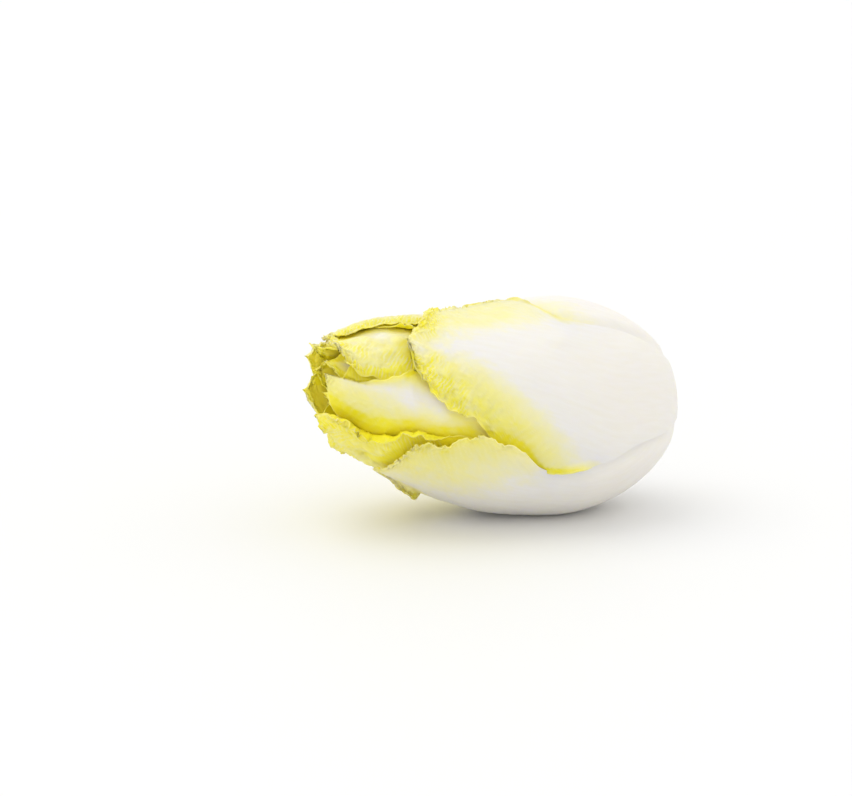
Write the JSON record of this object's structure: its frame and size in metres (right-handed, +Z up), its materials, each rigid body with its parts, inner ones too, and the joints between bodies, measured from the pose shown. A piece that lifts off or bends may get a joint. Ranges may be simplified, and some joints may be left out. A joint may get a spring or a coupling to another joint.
{
  "type": "belgian endive head",
  "caption": "Head of Belgian endive lying on its side: tight white leaves with crinkled yellow tips, wrapped in a spiral round a cut stem.",
  "frame": {"origin": "under the middle of the head's bounding box, on the surface that it lies on", "axes": "+X along the head from its tip to its cut butt, +Y away from the side with the front wrapper leaf, +Z up"},
  "size_m": [0.115, 0.071, 0.0693],
  "materials": {
    "outer_leaf": "satin, white at the butt and yellow towards the margins and the tip",
    "heart_leaf": "satin, yellow and crinkled",
    "cut_stem": "matt, cut across, with a faint ring of browned sap vessels"
  },
  "bodies": {
    "root": {"core": "cut_stem", "front_wrapper_leaf": "outer_leaf", "under_wrapper_leaf": "outer_leaf", "top_wrapper_leaf": "outer_leaf", "back_wrapper_leaf": "outer_leaf", "front_second_leaf": "outer_leaf", "under_second_leaf": "outer_leaf", "back_second_leaf": "outer_leaf", "top_second_leaf": "outer_leaf", "heart_leaf_01": "heart_leaf", "heart_leaf_02": "heart_leaf", "heart_leaf_03": "heart_leaf", "heart_leaf_04": "heart_leaf", "heart_leaf_05": "heart_leaf", "heart_leaf_06": "heart_leaf", "heart_leaf_07": "heart_leaf", "heart_leaf_08": "heart_leaf", "heart_leaf_09": "heart_leaf", "heart_leaf_10": "heart_leaf", "heart_leaf_11": "heart_leaf", "heart_leaf_12": "heart_leaf"}
  },
  "joints": []
}
